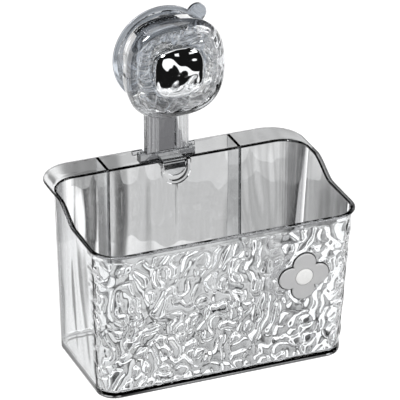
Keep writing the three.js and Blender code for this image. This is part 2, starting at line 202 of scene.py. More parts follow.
# A node's own solid with merged faces and softly broken edges
def refinedCopy(name, node, edge):
    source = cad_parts[node].data
    points = [vertex.co / mm for vertex in source.vertices]
    piece = newPiece(name, points, [tuple(face.vertices) for face in source.polygons])

    def merge(build):
        bmesh.ops.remove_doubles(build, verts=build.verts, dist=meshTools["mergeGap"] * mm)
        bmesh.ops.dissolve_limit(build, angle_limit=math.radians(meshTools["flatAngle"]),
                                 verts=build.verts, edges=build.edges)
        faceOutwards(build)

    edited(piece.data, merge)
    modifier = piece.modifiers.new("brokenEdges", "BEVEL")
    modifier.width = edge * mm
    modifier.segments = meshTools["bevelSegments"]
    modifier.limit_method = "ANGLE"
    modifier.angle_limit = math.radians(meshTools["copySharp"])
    bake(piece)
    smoothShading(piece, meshTools["copySharp"])
    return piece


# Node tools

# A node with its settings, and with each input set or linked
def newNode(tree, kind, inputs, **settings):
    node = tree.nodes.new(kind)
    for name, value in settings.items():
        setattr(node, name, value)
    for key, value in inputs.items():
        if isinstance(value, bpy.types.NodeSocket):
            tree.links.new(value, node.inputs[key])
        else:
            node.inputs[key].default_value = value
    return node.outputs


def mathNode(tree, operation, *values):
    return newNode(tree, "ShaderNodeMath", dict(enumerate(values)), operation=operation)[0]


def vectorNode(tree, operation, *values):
    return newNode(tree, "ShaderNodeVectorMath", dict(enumerate(values)), operation=operation)[0]


def vectorOf(tree, *values):
    return newNode(tree, "ShaderNodeCombineXYZ", dict(enumerate(values)))[0]


def mapNode(tree, value, fromRange, toRange, interpolation="LINEAR"):
    inputs = {"Value": value, "From Min": fromRange[0], "From Max": fromRange[1],
              "To Min": toRange[0], "To Max": toRange[1]}
    return newNode(tree, "ShaderNodeMapRange", inputs, interpolation_type=interpolation)["Result"]


# A tree with named sockets, and what its inputs give
def newTree(name, kind, inputs, outputs):
    tree = bpy.data.node_groups.new(name, kind)
    for direction, sockets in (("INPUT", inputs), ("OUTPUT", outputs)):
        for socket, socketKind in sockets.items():
            tree.interface.new_socket(socket, in_out=direction, socket_type="NodeSocket" + socketKind)
    return tree, newNode(tree, "NodeGroupInput", {})


# A geometry tree with a material beside its own sizes
def geometryTree(name, sizes):
    inputs = {"Geometry": "Geometry", **sizes, "Material": "Material"}
    return newTree(name, "GeometryNodeTree", inputs, {"Geometry": "Geometry"})


# Every geometry tree ends in a plain mesh with its material
def finishTree(tree, geometry, material):
    real = newNode(tree, "GeometryNodeRealizeInstances", {0: geometry})[0]
    painted = newNode(tree, "GeometryNodeSetMaterial", {"Geometry": real, "Material": material})[0]
    newNode(tree, "NodeGroupOutput", {0: painted})
    return tree


def socketId(tree, name):
    return next(item.identifier for item in tree.interface.items_tree if item.name == name)


def runTree(piece, tree, settings, material):
    modifier = piece.modifiers.new(tree.name, "NODES")
    modifier.node_group = tree
    for name, value in {**settings, "Material": material}.items():
        modifier[socketId(tree, name)] = value
    bake(piece)


# Geometry trees

reliefShape = {
    "inputs": ("Cell Width", "Floor", "Crest", "Step", "Groove",
               "Wander", "Wander Width", "Calm", "Depth", "Seed"),
    "frequency": 1.4, "driftDetail": 1, "sharpness": 1.8,
    "stepHeights": (-0.55, 0.45),      # ridges stand a little proud of the plain wall
    "patchScale": 0.6, "patchRange": (0.35, 0.55),
}


# Presses flowing cells into a surface: ridges and hollows with a step between them, and a groove along
# each step. The point attribute "panel" holds the place on the surface in millimetres, and how strongly
# it is pressed there
def reliefTree():
    shape = reliefShape
    tree, given = geometryTree("flowingCells", dict.fromkeys(shape["inputs"], "Float"))
    panel = newNode(tree, "GeometryNodeInputNamedAttribute", {"Name": "panel"}, data_type="FLOAT_VECTOR")
    parts = newNode(tree, "ShaderNodeSeparateXYZ", {0: panel["Attribute"]})
    flat = vectorOf(tree, parts["X"], parts["Y"], given["Seed"])

    # Places wander, so that no two cells are alike
    scale = mathNode(tree, "DIVIDE", 1, given["Wander Width"])
    inputs = {"Vector": flat, "Scale": scale, "Detail": shape["driftDetail"]}
    drift = newNode(tree, "ShaderNodeTexNoise", inputs)
    centred = vectorNode(tree, "SUBTRACT", drift["Color"], (0.5, 0.5, 0.5))
    moved = vectorNode(tree, "MULTIPLY_ADD", centred, given["Wander"], flat)

    scale = mathNode(tree, "DIVIDE", 1, given["Cell Width"])
    inputs = {"Vector": moved, "Scale": scale, "Frequency": shape["frequency"], "Anisotropy": 0}
    cells = newNode(tree, "ShaderNodeTexGabor", inputs, gabor_type="2D")["Value"]
    step = mapNode(tree, cells, (given["Floor"], given["Crest"]), shape["stepHeights"], "SMOOTHSTEP")
    height = mathNode(tree, "MULTIPLY", step, given["Step"])

    # The groove is deepest half way up the step
    away = mathNode(tree, "ABSOLUTE", mathNode(tree, "SUBTRACT", cells, 0.5))
    reach = mathNode(tree, "MULTIPLY", mathNode(tree, "SUBTRACT", given["Crest"], given["Floor"]), 0.5)
    groove = mathNode(tree, "POWER", mapNode(tree, away, (0, reach), (1, 0)), shape["sharpness"])
    height = mathNode(tree, "SUBTRACT", height, mathNode(tree, "MULTIPLY", groove, given["Groove"]))

    # Broad patches are shallower
    scale = mathNode(tree, "DIVIDE", shape["patchScale"], given["Wander Width"])
    patches = newNode(tree, "ShaderNodeTexNoise", {"Vector": flat, "Scale": scale, "Detail": 0})[0]
    least = mathNode(tree, "SUBTRACT", 1, given["Calm"])
    calmer = mapNode(tree, patches, shape["patchRange"], (least, 1), "SMOOTHSTEP")
    strength = mathNode(tree, "MULTIPLY", mathNode(tree, "MULTIPLY", parts["Z"], given["Depth"]), calmer)

    normal = newNode(tree, "GeometryNodeInputNormal", {})[0]
    offset = vectorNode(tree, "MULTIPLY", normal, mathNode(tree, "MULTIPLY", height, strength))
    inputs = {"Geometry": given["Geometry"], "Offset": offset}
    pressed = newNode(tree, "GeometryNodeSetPosition", inputs)[0]
    return finishTree(tree, pressed, given["Material"])


# Repeats a piece in an even row, centred where the piece is
def rowTree():
    tree, given = geometryTree("evenRow", {"Count": "Int", "Pitch": "Float"})
    length = mathNode(tree, "MULTIPLY", mathNode(tree, "SUBTRACT", given["Count"], 1), given["Pitch"])
    start = vectorOf(tree, mathNode(tree, "MULTIPLY", length, -0.5))
    inputs = {"Count": given["Count"], "Start Location": start, "Offset": vectorOf(tree, given["Pitch"])}
    line = newNode(tree, "GeometryNodeMeshLine", inputs)[0]
    inputs = {"Points": line, "Instance": given["Geometry"]}
    copies = newNode(tree, "GeometryNodeInstanceOnPoints", inputs)[0]
    return finishTree(tree, copies, given["Material"])


flowingCells = reliefTree()
evenRow = rowTree()
print("relief and row trees built")


def press(piece, places, cells, material):
    attribute = piece.data.attributes.new("panel", "FLOAT_VECTOR", "POINT")
    attribute.data.foreach_set("vector", [value for place in places for value in place])
    runTree(piece, flowingCells, cells, material)
    piece.data.attributes.remove(piece.data.attributes["panel"])


# Materials

handledRange = (0.35, 0.7)           # the part of the noise that shows as handling marks
handledDetail = 3


# Fine handling marks: a roughness that drifts between two values
def handledGroup():
    inputs = dict.fromkeys(("Scale", "Low", "High"), "Float")
    tree, given = newTree("handledGloss", "ShaderNodeTree", inputs, {"Roughness": "Float"})
    place = newNode(tree, "ShaderNodeTexCoord", {})["Object"]
    inputs = {"Vector": place, "Scale": given["Scale"], "Detail": handledDetail}
    noise = newNode(tree, "ShaderNodeTexNoise", inputs)[0]
    roughness = mapNode(tree, noise, handledRange, (given["Low"], given["High"]))
    newNode(tree, "NodeGroupOutput", {0: roughness})
    return tree


# Paints shade into a colour where the face attribute "shade" is 1
def shadedGroup():
    inputs = dict.fromkeys(("Plain", "Shaded"), "Color")
    tree, given = newTree("paintedShade", "ShaderNodeTree", inputs, {"Color": "Color"})
    mask = newNode(tree, "ShaderNodeAttribute", {}, attribute_name="shade")["Fac"]
    inputs = {"Factor": mask, "A": given["Plain"], "B": given["Shaded"]}
    mixed = newNode(tree, "ShaderNodeMix", inputs, data_type="RGBA")
    newNode(tree, "NodeGroupOutput", {0: mixed["Result"]})
    return tree


handledGloss = handledGroup()
paintedShade = shadedGroup()


def shaderOf(material):
    return material.node_tree.nodes["Principled BSDF"]


def setInputs(node, inputs):
    for name, value in inputs.items():
        node.inputs[name].default_value = value


def newMaterial(name, color, inputs):
    material = bpy.data.materials.new(name)
    material.use_nodes = True
    setInputs(shaderOf(material), {"Base Color": (*color, 1), **inputs})
    return material


def addHandling(material, scale, low, high):
    tree = material.node_tree
    inputs = {"Scale": scale, "Low": low, "High": high}
    gloss = newNode(tree, "ShaderNodeGroup", inputs, node_tree=handledGloss)
    tree.links.new(gloss["Roughness"], shaderOf(material).inputs["Roughness"])


def addShade(material, shaded):
    tree = material.node_tree
    base = shaderOf(material).inputs["Base Color"]
    inputs = {"Plain": tuple(base.default_value), "Shaded": (*shaded, 1)}
    color = newNode(tree, "ShaderNodeGroup", inputs, node_tree=paintedShade)["Color"]
    tree.links.new(color, base)


def shadeFaces(piece, isShaded):
    attribute = piece.data.attributes.new("shade", "FLOAT", "FACE")
    attribute.data.foreach_set("value", [float(isShaded(face)) for face in piece.data.polygons])


# Clear plastic, greyer the further light goes inside it. Lamps pass through it
def clearMaterial(name, color, ior, marks, low, high, density, absorbed):
    material = newMaterial(name, color, {"Transmission Weight": 1, "IOR": ior})
    addHandling(material, marks, low, high)
    tree, shader = material.node_tree, shaderOf(material)
    isShadow = newNode(tree, "ShaderNodeLightPath", {})["Is Shadow Ray"]
    passing = newNode(tree, "ShaderNodeBsdfTransparent", {"Color": (*color, 1)})[0]
    mixed = newNode(tree, "ShaderNodeMixShader", {0: isShadow, 1: shader.outputs[0], 2: passing})[0]
    inside = newNode(tree, "ShaderNodeVolumeAbsorption", {"Color": (*absorbed, 1), "Density": density})[0]
    ends = tree.nodes["Material Output"].inputs
    tree.links.new(mixed, ends["Surface"])
    tree.links.new(inside, ends["Volume"])
    return material


def plainMaterial(name, color, marks, low, high, metallic=0.0):
    material = newMaterial(name, color, {"Metallic": metallic})
    addHandling(material, marks, low, high)
    return material


hardPlastic = {
    "color": (0.97, 0.975, 0.98), "absorbed": (0, 0.02, 0.04), "ior": 1.49, "marks": 60, "low": 0.0,
}
softPlastic = {
    "color": (0.57, 0.6, 0.64), "absorbed": (0, 0.06, 0.14), "ior": 1.45, "marks": 60, "low": 0.05,
}
knobCoat = {"Coat Weight": 0.7, "Coat IOR": 2.2, "Coat Roughness": 0.02}     # bright lines on its face
clearBasket = clearMaterial("clearBasket", **hardPlastic, high=0.02, density=50)
# Painted shade on the basket's rim, lip, foot and back corners
addShade(clearBasket, (0.1, 0.1, 0.105))
clearKnob = clearMaterial("clearKnob", **hardPlastic, high=0.02, density=40)
# Painted shade on the knob's round edge
addShade(clearKnob, (0.2, 0.2, 0.21))
setInputs(shaderOf(clearKnob), knobCoat)
clearBracket = clearMaterial("clearBracket", **hardPlastic, high=0.03, density=50)
# Painted shade on the web between the arm's columns
addShade(clearBracket, (0.22, 0.22, 0.23))
softVinyl = clearMaterial("softVinyl", **softPlastic, high=0.12, density=110)
mirrorPlate = plainMaterial("mirrorPlate", (0.92, 0.93, 0.94), marks=90, low=0.01, high=0.05, metallic=1)
petalGrey = plainMaterial("petalGrey", (0.52, 0.52, 0.525), marks=120, low=0.34, high=0.46)
# Painted shadow on the petals' low ring and sides
addShade(petalGrey, (0.015, 0.015, 0.015))
buttonWhite = plainMaterial("buttonWhite", (0.86, 0.86, 0.85), marks=120, low=0.2, high=0.3)
plainSteel = plainMaterial("plainSteel", (0.6, 0.61, 0.62), marks=200, low=0.25, high=0.4, metallic=1)
slipPlastic = plainMaterial("slipPlastic", (0.84, 0.84, 0.82), marks=120, low=0.4, high=0.55)
print("materials built")


# Basket

basketSizes = {
    "wall": 2, "lipReach": 4, "lipThickness": 2.2, "ledgeDepth": 25, "rimStep": 11.5,
    "sweepStart": 50, "sweepEnd": 28.5,
    "frontRadius": 17, "backRadius": 19.5, "baseRadius": 14.5, "ledgeRadius": 27,
    "sideDraft": 5, "frontDraft": 12, "backDraft": 1,
    "floor": 2.5, "floorFillet": 3, "footHeight": 1.5, "footWidth": 5, "footRound": 2.2,
    "lipRound": 1.05, "rimRound": 1.7, "roundSteps": 5, "sharpAngle": 50,
    "panelStep": 0.8, "panelTopBand": 3.5, "panelFootBand": 2.5, "panelFade": 1.5, "panelUp": 0.8,
    "calmEnds": 0.4, "calmFrom": 0.5,
    "waveAcross": 0.6, "waveUp": 0.1, "waveStrength": 0.25, "waveFade": 10, "sideWaves": 0.12,
    "backFade": 20, "ledgeRows": 6, "ledgeStep": 4, "ledgeWaves": 0.06,
    "sideSteps": 36, "backCornerSteps": 14, "backSteps": 64, "innerRows": 14,
}
basketCells = {
    "Cell Width": 17.5, "Floor": 0.29, "Crest": 0.71, "Step": 0.4, "Groove": 0.7,
    "Wander": 7.0, "Wander Width": 26.0, "Calm": 0.2, "Depth": 0.0013, "Seed": 3.0,
}
basketWaves = {
    "Cell Width": 17.5, "Floor": 0.3, "Crest": 0.7, "Step": 1.0, "Groove": 0.0,
    "Wander": 7.0, "Wander Width": 28.0, "Calm": 0.3, "Depth": 0.0018, "Seed": 3.0,
}
# How much painted shade the edges get. A face counts as level or upright by the height of its normal
basketShade = {
    "edges": 0.8, "levelFrom": 0.97, "backCorners": 0.75, "uprightTo": 0.3,
    "cornerStart": (10, 40), "cornerEnd": (75, 90), "aboveRim": 0.5, "belowLip": 0.2,
}
flowerSizes = {
    "drop": 46.5, "gap": 0.3, "petals": 4, "petalRadius": 9.7, "petalOffset": 10.8,
    "petalThickness": 1.8, "edge": 1.0, "arcSteps": 28, "roundSteps": 4, "sharpAngle": 40,
    "ringWidth": 0.8, "ringHeight": 0.45, "ringEdge": 0.1, "ringSpare": 0.02, "backFacing": -0.5,
    "clearBand": 2, "holeGap": 0.5,
    "buttonHeight": 2.6, "buttonCrown": 0.7, "buttonSteps": 64, "crownRows": 12,
}


# A plan of the basket, larger all round by a distance
def grown(plan, distance):
    return {
        "half": plan["half"] + distance,
        "front": plan["front"] - distance,
        "back": plan["back"] + distance,
        "frontRadius": plan["frontRadius"] + distance,
        "backRadius": plan["backRadius"] + distance,
    }


def basketPlans():
    sizes = basketSizes
    low, high = nodeBox("basket_bin")
    rim = {
        "half": high.x - sizes["lipReach"],
        "front": low.y + sizes["lipReach"],
        "back": high.y - sizes["ledgeDepth"],
        "frontRadius": sizes["frontRadius"],
        "backRadius": sizes["backRadius"],
    }
    wall = grown(rim, sizes["wall"])
    lip = {**grown(rim, sizes["lipReach"]), "back": high.y, "backRadius": sizes["ledgeRadius"]}
    base = {
        "half": wall["half"] - sizes["sideDraft"],
        "front": wall["front"] + sizes["frontDraft"],
        "back": wall["back"] - sizes["backDraft"],
        "frontRadius": sizes["baseRadius"],
        "backRadius": sizes["baseRadius"],
    }
    return rim, wall, lip, base


def arcSteps(length):
    return round(length / basketSizes["panelStep"])


plans = basketPlans()
rimPlan, wallPlan, lipPlan, basePlan = plans
sideFront = max(plan["front"] + plan["frontRadius"] for plan in plans)
sideBack = min(plan["back"] - plan["backRadius"] for plan in plans)
frontHalf = wallPlan["half"] - wallPlan["frontRadius"]
frontSteps = arcSteps(2 * frontHalf)
foot = nodeBox("basket_bin")[0].z
ledgeTop = nodeBox("basket_bin")[1].z
frontRim = ledgeTop - basketSizes["rimStep"]
flowerX = (nodeBox("flower_petals")[0].x + nodeBox("flower_petals")[1].x) / 2


def planLoop(plan):
    sizes = basketSizes
    half, front, back = plan["half"], plan["front"], plan["back"]
    frontRadius, backRadius = plan["frontRadius"], plan["backRadius"]
    frontX, frontY = half - frontRadius, front + frontRadius
    backX, backY = half - backRadius, back - backRadius
    cornerSteps = arcSteps(quarter * wallPlan["frontRadius"])
    loop = []

    def line(start, end, steps):
        loop.extend(between(start, end, i / steps) for i in range(1, steps))

    def corner(x, y, radius, start, steps):
        for i in range(steps + 1):
            turn = start + quarter * i / steps
            loop.append((x + radius * math.cos(turn), y + radius * math.sin(turn)))

    line((-frontX, front), (frontX, front), frontSteps)
    corner(frontX, frontY, frontRadius, -quarter, cornerSteps)
    line((half, sideFront), (half, sideBack), sizes["sideSteps"])
    corner(backX, backY, backRadius, 0, sizes["backCornerSteps"])
    line((backX, back), (-backX, back), sizes["backSteps"])
    corner(-backX, backY, backRadius, quarter, sizes["backCornerSteps"])
    line((-half, sideBack), (-half, sideFront), sizes["sideSteps"])
    corner(-frontX, frontY, frontRadius, 2 * quarter, cornerSteps)
    return loop


def rimHeight(y):
    start = rimPlan["front"] + basketSizes["sweepStart"]
    end = rimPlan["back"] - basketSizes["sweepEnd"]
    return frontRim + basketSizes["rimStep"] * smoothStep(start, end, y)


def levelLoop(plan, height):
    return [(x, y, height) for x, y in planLoop(plan)]


# A loop along the rim, this far below its top
def rimLoop(plan, drop):
    return [(x, y, rimHeight(y) - drop) for x, y in planLoop(plan)]


# A quarter round in steps: how far it still is from the side, and how far it has risen
def rounding(radius):
    turns = [quarter * i / basketSizes["roundSteps"] for i in range(basketSizes["roundSteps"] + 1)]
    return [(radius * (1 - math.sin(turn)), radius * (1 - math.cos(turn))) for turn in turns]


# Distance round the wall from the middle of the front, to the right and to the left
def panelAcross():
    loop = planLoop(wallPlan)
    middle = frontSteps // 2 - 1
    lengths = [0]
    for i in range(len(loop) - 1):
        lengths.append(lengths[-1] + math.dist(loop[i], loop[i + 1]))
    around = lengths[-1] + math.dist(loop[-1], loop[0])
    across = []
    for length in lengths:
        reach = (length - lengths[middle]) % around
        across.append(reach if reach < around / 2 else reach - around)
    return across


# The front stays smooth under the flower
def besideFlower(right, up):
    sizes = flowerSizes
    offset = sizes["petalOffset"]
    petals = [(offset * c, offset * s) for c, s in circle(sizes["petals"])]
    gap = min(math.dist((right, up), petal) for petal in petals) - sizes["petalRadius"]
    return smoothStep(0, sizes["clearBand"], gap)


def basketShell():
    sizes = basketSizes
    floor = foot + sizes["footHeight"] + sizes["floor"]
    floorPlan = grown(basePlan, -sizes["wall"])
    footPlan = grown(basePlan, -sizes["footWidth"])
    underLip = sizes["lipThickness"]
    loops = [levelLoop(footPlan, foot + sizes["footHeight"]), levelLoop(footPlan, foot)]
    for inset, rise in rounding(sizes["footRound"]):
        loops.append(levelLoop(grown(basePlan, -inset), foot + rise))

    # Outside of the walls
    baseLoop = loops[-1]
    topLoop = rimLoop(wallPlan, underLip)
    height = frontRim - underLip - baseLoop[0][2]
    rows = arcSteps(height)
    wallRow = len(loops)
    for row in range(1, rows + 1):
        loops.append([between(low, high, row / rows) for low, high in zip(baseLoop, topLoop)])

    # Lip and rim
    for inset, rise in rounding(sizes["lipRound"]):
        loops.append(rimLoop(grown(lipPlan, -inset), underLip - rise))
    for drop, inset in rounding(sizes["lipRound"]):
        loops.append(rimLoop(grown(lipPlan, -inset), drop))
    topOuter = loops[-1]
    topInner = rimLoop(grown(rimPlan, sizes["rimRound"]), 0)
    ledgeRow = len(loops)
    for row in range(1, sizes["ledgeRows"]):
        places = [between(a, b, row / sizes["ledgeRows"]) for a, b in zip(topOuter, topInner)]
        loops.append([(x, y, rimHeight(y)) for x, y, _ in places])
    for inset, drop in rounding(sizes["rimRound"]):
        loops.append(rimLoop(grown(rimPlan, inset), drop))

    # Inside of the walls and the floor
    rimInside = loops[-1]
    floorEdge = levelLoop(floorPlan, floor + sizes["floorFillet"])
    innerRow = len(loops)
    for row in range(1, sizes["innerRows"] + 1):
        share = row / sizes["innerRows"]
        loops.append([between(high, low, share) for high, low in zip(rimInside, floorEdge)])
    for rise, inset in rounding(sizes["floorFillet"])[1:]:
        loops.append(levelLoop(grown(floorPlan, -inset), floor + rise))
    shell = loft("basket", loops)

    # Hammered front
    count = len(baseLoop)
    front = [(0, 0, 0)] * (len(loops) * count)
    waves = list(front)
    across = panelAcross()
    end = frontHalf + quarter * wallPlan["frontRadius"]
    fade = sizes["panelFade"]
    flowerUp = frontRim - flowerSizes["drop"] - baseLoop[0][2]
    for row in range(rows):
        up = height * (row + 1) / rows
        upMask = smoothStep(0, fade, up - sizes["panelFootBand"])
        upMask *= smoothStep(0, fade, height - sizes["panelTopBand"] - up)
        for i, reach in enumerate(across):
            mask = upMask * smoothStep(0, fade, end - abs(reach))
            mask *= 1 - sizes["calmEnds"] * smoothStep(sizes["calmFrom"], 1, abs(reach) / end)
            mask *= besideFlower(reach - flowerX, up - flowerUp)
            front[(wallRow + row) * count + i] = (reach, up * sizes["panelUp"], mask)
    press(shell, front, basketCells, clearBasket)

    # Faint waves inside and on the ledge
    backStart = end + sideBack - sideFront
    for i, reach in enumerate(across):
        along = reach * sizes["waveAcross"]
        atBack = smoothStep(0, sizes["backFade"], abs(reach) - backStart)
        mask = sizes["waveStrength"] * smoothStep(0, sizes["waveFade"], abs(reach) - end)
        mask *= sizes["sideWaves"] + (1 - sizes["sideWaves"]) * atBack
        for row in range(sizes["innerRows"] - 1):
            down = height * (row + 1) / sizes["innerRows"]
            waves[(innerRow + row) * count + i] = (along, down * sizes["waveUp"], mask)
        mask = sizes["ledgeWaves"] * atBack
        for row in range(sizes["ledgeRows"] - 1):
            down = -sizes["ledgeStep"] * row
            waves[(ledgeRow + row) * count + i] = (along, down * sizes["waveUp"], mask)
    press(shell, waves, basketWaves, clearBasket)
    return shell


ribSizes = {
    "finSpacing": 106, "finThickness": 2.4, "finInset": 0.5, "finFootGap": 4, "finEdge": 0.9,
    "catchWidth": 8, "catchDepth": 3, "catchThickness": 2.5, "catchInset": 0.05, "catchEdge": 0.35,
    "armHalf": 16.8, "armFront": 12, "slide": 0.5, "lift": 4,
    "pocketWidth": 19.4, "socketWall": 2, "socketReach": 3,
    "slotCount": 7, "slotPitch": 18, "slotWidth": 3.4, "slotLength": 52,
    "cutEdge": 0.2, "cutPast": 1,
}


def basketRibs(shell):
    sizes = ribSizes
    ledgeUnder = ledgeTop - basketSizes["lipThickness"]
    inLedge = ledgeTop - basketSizes["lipThickness"] / 2
    inWall = wallPlan["back"] - basketSizes["backDraft"] - basketSizes["wall"] / 2
    rear = lipPlan["back"]
    half = sizes["armHalf"] + sizes["slide"]
    catchBottom = ledgeUnder - sizes["catchDepth"]
    for side in (-1, 1):
        x = side * sizes["finSpacing"] / 2
        low = (x - sizes["finThickness"] / 2, inWall, foot + sizes["finFootGap"])
        high = (x + sizes["finThickness"] / 2, rear - sizes["finInset"], inLedge)
        combine(shell, roundedBox("fin", low, high, sizes["finEdge"]), "UNION")
        x = side * (half + sizes["catchWidth"] / 2)
        low = (x - sizes["catchWidth"] / 2, rear - sizes["catchThickness"], catchBottom)
        high = (x + sizes["catchWidth"] / 2, rear - sizes["catchInset"], inLedge)
        combine(shell, roundedBox("catch", low, high, sizes["catchEdge"]), "UNION")

    inside = rimPlan["back"]
    pocketBottom = nodeBox("hanger_bracket")[0].z - sizes["lift"] - sizes["slide"]
    socketWidth = sizes["pocketWidth"] + 2 * sizes["socketWall"]
    outline = uOutline(socketWidth, inLedge, pocketBottom - sizes["socketWall"])
    socket = prism("socket", outline, inside - sizes["socketReach"], inside + basketSizes["wall"] / 2)
    combine(shell, socket, "UNION")
    outline = uOutline(sizes["pocketWidth"], ledgeUnder, pocketBottom)
    pocketFloor = inside - sizes["socketReach"] + sizes["socketWall"]
    combine(shell, prism("pocket", outline, pocketFloor, rear + sizes["cutPast"]), "DIFFERENCE")

    low = (-half, -sizes["armFront"] - sizes["slide"], catchBottom)
    high = (half, 0, ledgeTop + sizes["cutPast"])
    combine(shell, roundedBox("notch", low, high, sizes["cutEdge"]), "DIFFERENCE")

    middle = (basePlan["front"] + basePlan["back"]) / 2
    top = foot + basketSizes["footHeight"] + basketSizes["floor"] + basketSizes["floorFillet"]
    low = (-sizes["slotWidth"] / 2, middle - sizes["slotLength"] / 2, foot)
    high = (sizes["slotWidth"] / 2, middle + sizes["slotLength"] / 2, top)
    slots = roundedBox("drainSlots", low, high, sizes["cutEdge"])
    runTree(slots, evenRow, {"Count": sizes["slotCount"], "Pitch": sizes["slotPitch"] * mm}, clearBasket)
    combine(shell, slots, "DIFFERENCE")


# Rim, lip, foot and back corners get painted shade, which stands in for light going round inside the
# plastic, and the ledge stays clear
def edgeShade(face):
    shade = basketShade
    place = face.center / mm
    rise = abs(face.normal.z)
    drop = rimHeight(place.y) - place.z
    isEdge = rise < shade["levelFrom"]
    if place.z < foot + basketSizes["footRound"]:
        return shade["edges"] if isEdge else 0
    if place.y > sideBack and rise < shade["uprightTo"] and drop > basketSizes["lipThickness"]:
        turn = math.degrees(math.atan2(abs(face.normal.x), abs(face.normal.y)))
        inCorner = smoothStep(*shade["cornerStart"], turn) * (1 - smoothStep(*shade["cornerEnd"], turn))
        return shade["backCorners"] * inCorner
    if not -shade["aboveRim"] < drop < basketSizes["lipThickness"] + shade["belowLip"]:
        return 0
    return shade["edges"] if isEdge or place.y < sideBack else 0


basket = basketShell()
basketRibs(basket)
smoothShading(basket, basketSizes["sharpAngle"])
shadeFaces(basket, edgeShade)
standsFor(basket, "basket_bin", "basket", clearBasket)


# Flower on the front

wallHeight = frontRim - basketSizes["lipThickness"] - foot - basketSizes["footRound"]
frontLean = math.atan2(basketSizes["frontDraft"], wallHeight)
frontFacing = Vector((0, -math.cos(frontLean), -math.sin(frontLean)))
flowerMiddle = Vector((
    flowerX,
    wallPlan["front"] + (flowerSizes["drop"] - basketSizes["lipThickness"]) * math.tan(frontLean),
    frontRim - flowerSizes["drop"],
))


# A place on the front wall: right, up along the wall and out from it
def onFront(right, up, out):
    lift = out + flowerSizes["gap"]
    return (
        flowerMiddle.x + right,
        flowerMiddle.y - up * math.sin(frontLean) - lift * math.cos(frontLean),
        flowerMiddle.z + up * math.cos(frontLean) - lift * math.sin(frontLean),
    )


def petalOutline(radius):
    sizes = flowerSizes
    offset = sizes["petalOffset"]
    share = math.pi / sizes["petals"]
    notch = offset * math.cos(share) + math.sqrt(radius ** 2 - (offset * math.sin(share)) ** 2)
    sweep = math.atan2(notch * math.sin(share), notch * math.cos(share) - offset)
    outline = []
    for petal in range(sizes["petals"]):
        middle = 2 * share * petal
        for i in range(sizes["arcSteps"]):
            turn = middle + sweep * (2 * i / sizes["arcSteps"] - 1)
            outline.append((offset * math.cos(middle) + radius * math.cos(turn),
                            offset * math.sin(middle) + radius * math.sin(turn)))
    return outline


def flowerPetals():
    sizes = flowerSizes
    edge, radius, ringEdge = sizes["edge"], sizes["petalRadius"], sizes["ringEdge"]
    innerRadius = radius - sizes["ringWidth"]
    ringTop = sizes["ringHeight"]
    profile = [(radius, 0), (radius - ringEdge, ringTop - ringEdge), (innerRadius, ringTop)]
    for i in range(sizes["roundSteps"] + 1):
        turn = quarter * i / sizes["roundSteps"]
        profile.append((innerRadius - edge * (1 - math.cos(turn)),
                        sizes["petalThickness"] - edge * (1 - math.sin(turn))))
    loops = [[onFront(x, y, rise) for x, y in petalOutline(reach)] for reach, rise in profile]

    # The hole for the button has a point for each point of the outline
    hole = nodeRadius("flower_centre") + sizes["holeGap"]
    turns = [math.atan2(y, x) for x, y in petalOutline(radius)]
    for rise in (sizes["petalThickness"], 0):
        loops.append([onFront(hole * math.cos(turn), hole * math.sin(turn), rise) for turn in turns])
    return loft("flowerPetals", loops, isRing=True)


def flowerCentre():
    sizes = flowerSizes
    radius = nodeRadius("flower_centre")
    edge = sizes["buttonHeight"] - sizes["buttonCrown"]
    rings = [(radius, 0)]
    for i in range(sizes["crownRows"]):
        turn = quarter * i / sizes["crownRows"]
        rings.append((radius * math.cos(turn), edge + sizes["buttonCrown"] * math.sin(turn)))
    around = circle(sizes["buttonSteps"])
    loops = [[onFront(ring * c, ring * s, rise) for c, s in around] for ring, rise in rings]
    return loft("flowerCentre", loops)


# Painted shadow on the low ring round the petals and on their sides sets them off
def inPaintedShadowRing(face):
    sizes = flowerSizes
    rise = (face.center / mm - flowerMiddle).dot(frontFacing) - sizes["gap"]
    isFront = face.normal.dot(frontFacing) > sizes["backFacing"]
    return isFront and rise < sizes["petalThickness"] - sizes["edge"] + sizes["ringSpare"]


petals = flowerPetals()
smoothShading(petals, flowerSizes["sharpAngle"])
shadeFaces(petals, inPaintedShadowRing)
standsFor(petals, "flower_petals", "basket", petalGrey)
centre = flowerCentre()
smoothShading(centre, flowerSizes["sharpAngle"])
standsFor(centre, "flower_centre", "basket", buttonWhite)


# Knob

knobSizes = {
    "backHalf": 36.6, "faceHalf": 33, "round": 7.7, "wall": 2.2, "exponent": 2.68, "innerLap": 8,
    "steps": 256, "skirtRows": 8, "roundRows": 16, "faceRows": 22, "edge": 0.5, "sharpAngle": 50,
    "seat": 1.4, "seatGap": 0.3, "seatFade": 1.5, "edgeFade": 3,
    "capExponent": 2.9, "capEdge": 0.9, "capGrow": 0.7, "capRound": 0.3,
    "crownRows": 36, "crownFade": 0.3,
    "hubBore": 13.6, "hubWall": 2.3, "hubBack": 18.1, "hubSteps": 128,
    "keyWidth": 4.6, "keyFront": 22.4, "keyInner": 10, "keyOuter": 20, "keyEdge": 0.2,
    "shade": 0.8, "shadeStart": 0.5, "shadeFull": 0.95,
}
knobCells = {
    "Cell Width": 22.0, "Floor": 0.34, "Crest": 0.66, "Step": 0.2, "Groove": 0.9,
    "Wander": 7.0, "Wander Width": 24.0, "Calm": 0.2, "Depth": 0.0015, "Seed": 8.0,
}
capCells = {
    "Cell Width": 20.0, "Floor": 0.2, "Crest": 0.8, "Step": 1.0, "Groove": 0.0,
    "Wander": 6.0, "Wander Width": 24.0, "Calm": 0.0, "Depth": 0.0006, "Seed": 5.0,
}


def squareLoop(half, out, exponent):
    loop = []
    for c, s in circle(knobSizes["steps"]):
        radius = half / (abs(c) ** exponent + abs(s) ** exponent) ** (1 / exponent)
        loop.append((radius * c, -out, radius * s))
    return loop


